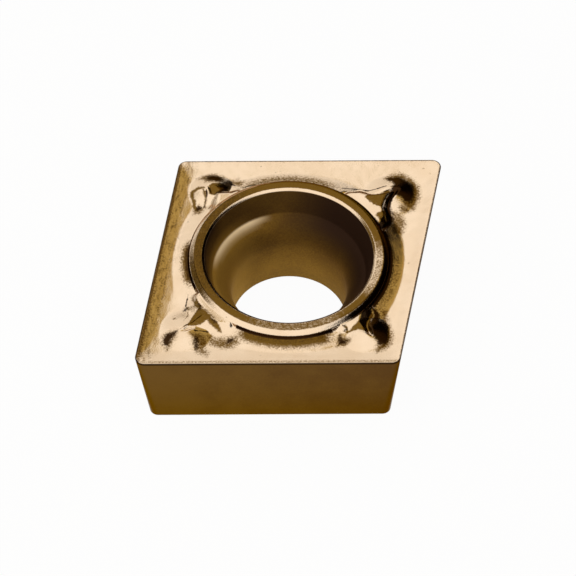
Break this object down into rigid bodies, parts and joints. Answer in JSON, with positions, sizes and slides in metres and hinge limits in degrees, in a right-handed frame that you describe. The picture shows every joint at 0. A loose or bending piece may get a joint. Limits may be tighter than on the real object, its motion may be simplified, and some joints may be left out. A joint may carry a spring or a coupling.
{
  "type": "turning insert",
  "caption": "Rhombic indexable turning insert with relief flanks, a moulded chipbreaker and a countersunk clamping hole.",
  "frame": {"origin": "on the axis of the hole, in the flat face that sits in the holder's pocket", "axes": "+Z along the hole towards the cutting face, +X along the front cutting edge, towards the blunt corner"},
  "size_m": [0.0074, 0.0064, 0.0026],
  "materials": {
    "coated_carbide": "satin"
  },
  "bodies": {
    "root": {"insert_body": "coated_carbide"}
  },
  "joints": []
}
